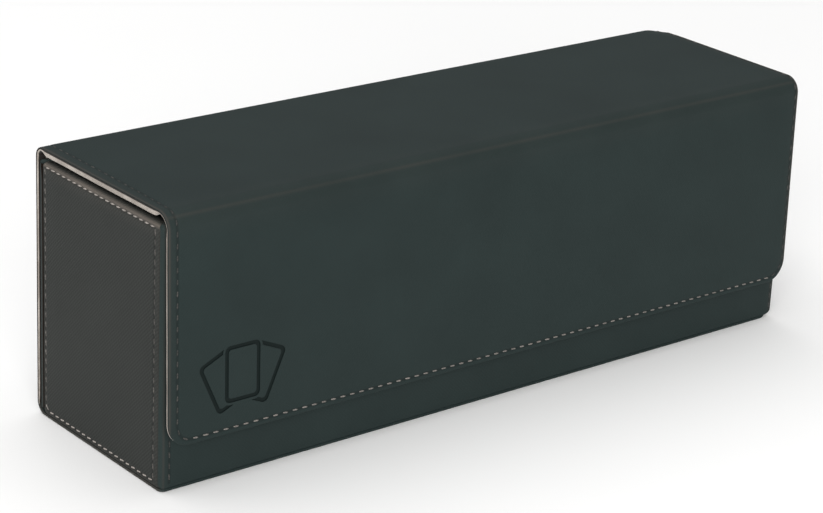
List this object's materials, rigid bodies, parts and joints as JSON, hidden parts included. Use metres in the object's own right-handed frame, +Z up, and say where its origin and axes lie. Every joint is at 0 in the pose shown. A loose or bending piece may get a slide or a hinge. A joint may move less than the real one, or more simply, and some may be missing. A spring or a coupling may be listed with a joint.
{
  "type": "trading card storage case",
  "caption": "Long leatherette card case: a rigid lined box in a wrap-round cover whose lid and magnetic front flap fold open, with loose card dividers inside.",
  "frame": {"origin": "middle of the resting face, under the middle of the closed case", "axes": "+X along the length of the case, the flap faces -Y, +Z up through the lid"},
  "size_m": [0.305, 0.088, 0.105],
  "materials": {
    "cover_leatherette": "fine diagonal-grained slate leatherette, satin",
    "box_leatherette": "fine diagonal-grained slate leatherette, satin",
    "panel_leatherette": "fine diagonal-grained slate leatherette, lightly padded",
    "cover_microfibre": "pale warm grey microfibre, matte",
    "box_microfibre": "pale warm grey microfibre, matte",
    "greyboard": "uncoated greyboard",
    "magnet": "nickel-plated disc magnet",
    "divider_plastic": "fine-textured dark polypropylene sheet"
  },
  "bodies": {
    "case": {"cover_back_skin": "cover_leatherette", "cover_back_lining": "cover_microfibre", "front_wall_skin": "box_leatherette", "front_wall_board": "greyboard", "front_wall_lining": "box_microfibre", "wall_magnet_1": "magnet", "wall_magnet_2": "magnet", "wall_magnet_3": "magnet", "wall_magnet_4": "magnet", "back_wall_skin": "box_leatherette", "back_wall_board": "greyboard", "back_wall_lining": "box_microfibre", "end_panel_left": "panel_leatherette", "end_board_left": "greyboard", "end_lining_left": "box_microfibre", "end_panel_right": "panel_leatherette", "end_board_right": "greyboard", "end_lining_right": "box_microfibre", "floor_board": "greyboard", "floor_lining": "box_microfibre"},
    "lid": {"lid_skin": "cover_leatherette", "lid_board": "greyboard", "lid_lining": "cover_microfibre"},
    "flap": {"flap_skin": "cover_leatherette", "flap_board": "greyboard", "flap_lining": "cover_microfibre", "flap_magnet_1": "magnet", "flap_magnet_2": "magnet", "flap_magnet_3": "magnet", "flap_magnet_4": "magnet"},
    "left_divider": {"divider_left": "divider_plastic"},
    "right_divider": {"divider_right": "divider_plastic"}
  },
  "joints": [
    {"name": "lid_hinge", "type": "hinge", "parent": "case", "child": "lid", "pos_m": [0, 0.04283, 0.10383], "axis": [-1, 0, 0], "range_deg": [0, 178]},
    {"name": "flap_hinge", "type": "hinge", "parent": "lid", "child": "flap", "pos_m": [0, -0.0403, 0.1031], "axis": [-1, 0, 0], "range_deg": [0, 90]},
    {"name": "left_divider_slide", "type": "slide", "parent": "case", "child": "left_divider", "axis": [1, 0, 0], "range_m": [-0.09, 0.045]},
    {"name": "right_divider_slide", "type": "slide", "parent": "case", "child": "right_divider", "axis": [1, 0, 0], "range_m": [-0.045, 0.09]}
  ]
}
